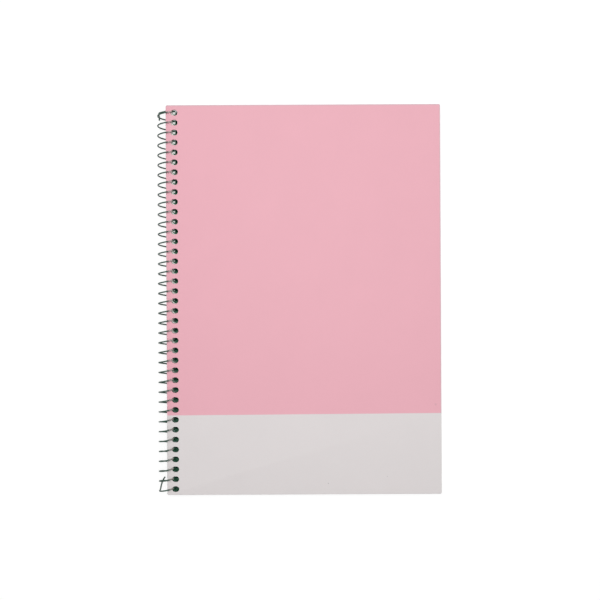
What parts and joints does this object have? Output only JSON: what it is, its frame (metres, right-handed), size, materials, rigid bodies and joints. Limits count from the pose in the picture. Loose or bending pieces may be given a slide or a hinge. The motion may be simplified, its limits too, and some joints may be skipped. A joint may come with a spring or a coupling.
{
  "type": "hardcover spiral notebook",
  "caption": "Hardcover notebook with wrapped board covers in two tones, white leaves and a wire coil through a row of oval holes; front cover and leaves turn about the coil.",
  "frame": {"origin": "middle of the foot of the notebook's box: it lies closed with its front cover up, and z = 0 is the underside of the coil", "axes": "+X from the bound edge to the fore edge, +Y up the page, +Z out of the front cover"},
  "size_m": [0.182, 0.25, 0.0117],
  "materials": {
    "grey_board": "raw grey board, matte",
    "pink_covering_paper": "smooth matte covering paper",
    "grey_covering_paper": "smooth matte covering paper",
    "lining_paper": "matte paper",
    "leaf_paper": "uncoated writing paper",
    "coated_wire": "glossy dark green coating"
  },
  "bodies": {
    "back_cover_with_coil": {"back_board": "grey_board", "back_covering_pink": "pink_covering_paper", "back_covering_grey": "grey_covering_paper", "back_lining": "lining_paper", "binding_coil": "coated_wire", "leaves_5": "leaf_paper"},
    "lower_leaves": {"leaves_4": "leaf_paper"},
    "lower_middle_leaves": {"leaves_3": "leaf_paper"},
    "upper_middle_leaves": {"leaves_2": "leaf_paper"},
    "upper_leaves": {"leaves_1": "leaf_paper"},
    "front_cover": {"front_board": "grey_board", "front_covering_pink": "pink_covering_paper", "front_covering_grey": "grey_covering_paper", "front_lining": "lining_paper"}
  },
  "joints": [
    {"name": "lower_leaves_turn", "type": "hinge", "parent": "back_cover_with_coil", "child": "lower_leaves", "pos_m": [-0.0851, 0, 0.00583], "axis": [0, -1, 0], "range_deg": [0, 30]},
    {"name": "lower_creep", "type": "slide", "parent": "lower_leaves", "child": "lower_middle_leaves", "axis": [0, -1, 0], "range_m": [0, 0.00159]},
    {"name": "notebook_opening", "type": "hinge", "parent": "lower_middle_leaves", "child": "upper_middle_leaves", "pos_m": [-0.0851, 0, 0.00583], "axis": [0, -1, 0], "range_deg": [0, 120]},
    {"name": "upper_creep", "type": "slide", "parent": "upper_middle_leaves", "child": "upper_leaves", "axis": [0, -1, 0], "range_m": [0, 0.00159]},
    {"name": "front_cover_turn", "type": "hinge", "parent": "upper_leaves", "child": "front_cover", "pos_m": [-0.0851, 0, 0.00583], "axis": [0, -1, 0], "range_deg": [0, 30]}
  ],
  "couplings": [
    {"joint": "lower_leaves_turn", "follows": "notebook_opening", "ratio": 0.25},
    {"joint": "lower_creep", "follows": "notebook_opening", "m_per_rad": 0.00075797},
    {"joint": "upper_creep", "follows": "notebook_opening", "m_per_rad": 0.00075797},
    {"joint": "front_cover_turn", "follows": "notebook_opening", "ratio": 0.25}
  ]
}
